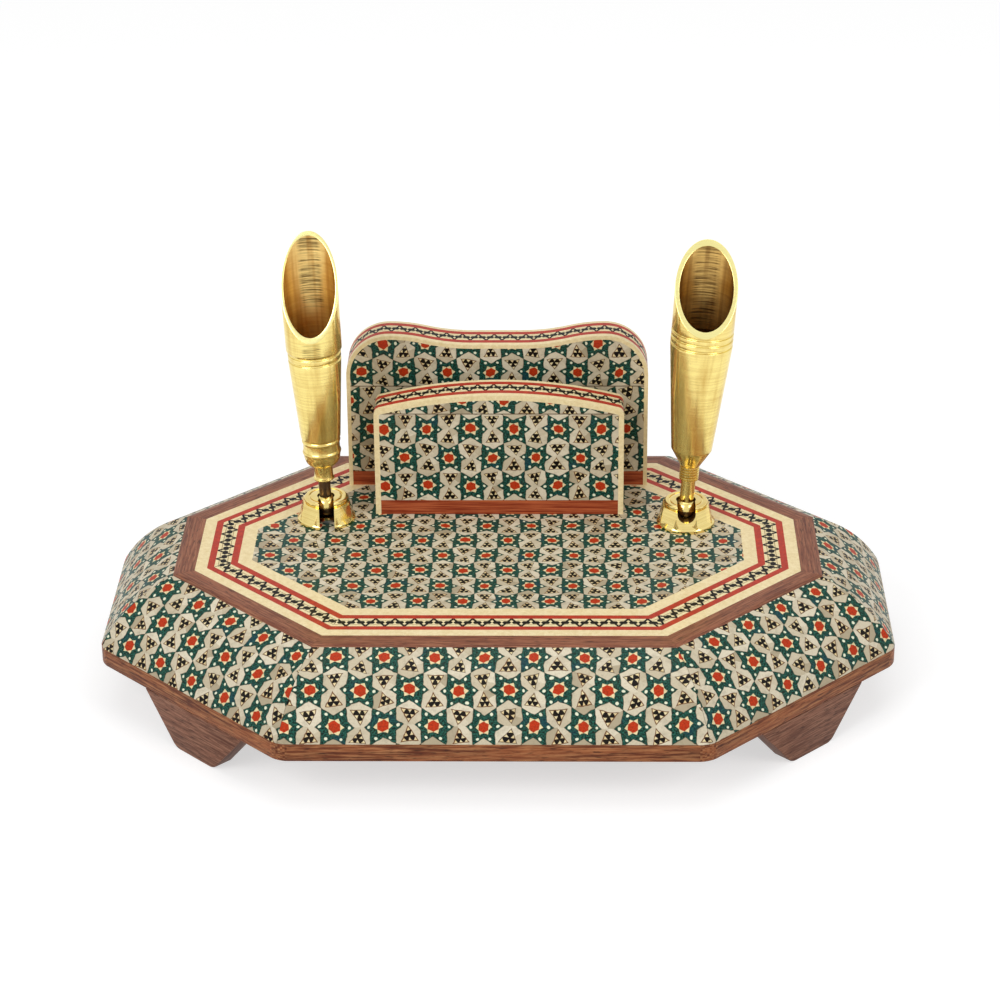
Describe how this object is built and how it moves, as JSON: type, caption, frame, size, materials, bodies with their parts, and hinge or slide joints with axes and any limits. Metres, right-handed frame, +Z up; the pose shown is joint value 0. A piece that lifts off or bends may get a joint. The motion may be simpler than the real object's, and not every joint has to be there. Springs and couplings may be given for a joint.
{
  "type": "desk pen holder",
  "caption": "Eight-sided desk pen holder in star inlay, with a card rack and swivelling brass pen funnels.",
  "frame": {"origin": "on the floor under the middle of the eight-sided base", "axes": "+X to the right along the longest side, -Y to the front, +Z up"},
  "size_m": [0.2738, 0.1994, 0.1524],
  "materials": {
    "walnut": "oiled, open grain",
    "case_wood": "plain, unseen inside",
    "khatam": "inlay of small stars under gloss lacquer",
    "cream_wood": "gloss lacquer",
    "red_wood": "gloss lacquer",
    "rope_inlay": "black and cream inlay under gloss lacquer",
    "red_brown_wood": "gloss lacquer",
    "brass_polished": "polished",
    "brass_brushed": "turned and brushed",
    "steel": "zinc plated"
  },
  "bodies": {
    "stand": {"base_board": "walnut", "foot_screws": "steel", "foot_front_left": "walnut", "foot_front_right": "walnut", "foot_rear_left": "walnut", "foot_rear_right": "walnut", "stave_right": "case_wood", "khatam_right": "khatam", "stave_rear_right": "case_wood", "khatam_rear_right": "khatam", "stave_rear": "case_wood", "khatam_rear": "khatam", "stave_rear_left": "case_wood", "khatam_rear_left": "khatam", "stave_left": "case_wood", "khatam_left": "khatam", "stave_front_left": "case_wood", "khatam_front_left": "khatam", "stave_front": "case_wood", "khatam_front": "khatam", "stave_front_right": "case_wood", "khatam_front_right": "khatam", "top_panel": "case_wood", "walnut_frame": "walnut", "outer_cream_line": "cream_wood", "outer_red_line": "red_wood", "rope_band": "rope_inlay", "inner_red_line": "red_wood", "inner_cream_line": "cream_wood", "khatam_field": "khatam", "front_plate_core": "case_wood", "front_plate_khatam_front": "khatam", "front_plate_khatam_back": "khatam", "front_plate_rails": "red_brown_wood", "front_plate_cream_lines": "cream_wood", "front_plate_red_lines": "red_wood", "front_plate_rope": "rope_inlay", "rear_plate_core": "case_wood", "rear_plate_khatam_front": "khatam", "rear_plate_khatam_back": "khatam", "rear_plate_rails": "red_brown_wood", "rear_plate_cream_lines": "cream_wood", "rear_plate_red_lines": "red_wood", "rear_plate_rope": "rope_inlay", "rack_screws": "steel", "left_socket": "brass_polished", "right_socket": "brass_polished", "seat_rings": "brass_brushed", "socket_bolts": "steel", "socket_washers": "steel", "socket_nuts": "steel"},
    "left_stud": {"left_ball_stud": "steel"},
    "left_holder": {"left_collar": "brass_polished", "left_funnel": "brass_brushed"},
    "right_stud": {"right_ball_stud": "steel"},
    "right_holder": {"right_collar": "brass_polished", "right_funnel": "brass_brushed"}
  },
  "joints": [
    {"name": "left_funnel_tilt", "type": "hinge", "parent": "stand", "child": "left_stud", "pos_m": [-0.0617, 0.021, 0.0519], "axis": [0.9955, 0.0871, 0.0384], "range_deg": [-10, 75]},
    {"name": "left_funnel_spin", "type": "hinge", "parent": "left_stud", "child": "left_holder", "pos_m": [-0.0617, 0.021, 0.0519], "axis": [-0.0382, -0.0033, 0.9993], "continuous": true},
    {"name": "right_funnel_tilt", "type": "hinge", "parent": "stand", "child": "right_stud", "pos_m": [0.0662, 0.018, 0.0519], "axis": [0.9977, 0, -0.068], "range_deg": [-10, 75]},
    {"name": "right_funnel_spin", "type": "hinge", "parent": "right_stud", "child": "right_holder", "pos_m": [0.0662, 0.018, 0.0519], "axis": [0.068, 0, 0.9977], "continuous": true}
  ]
}
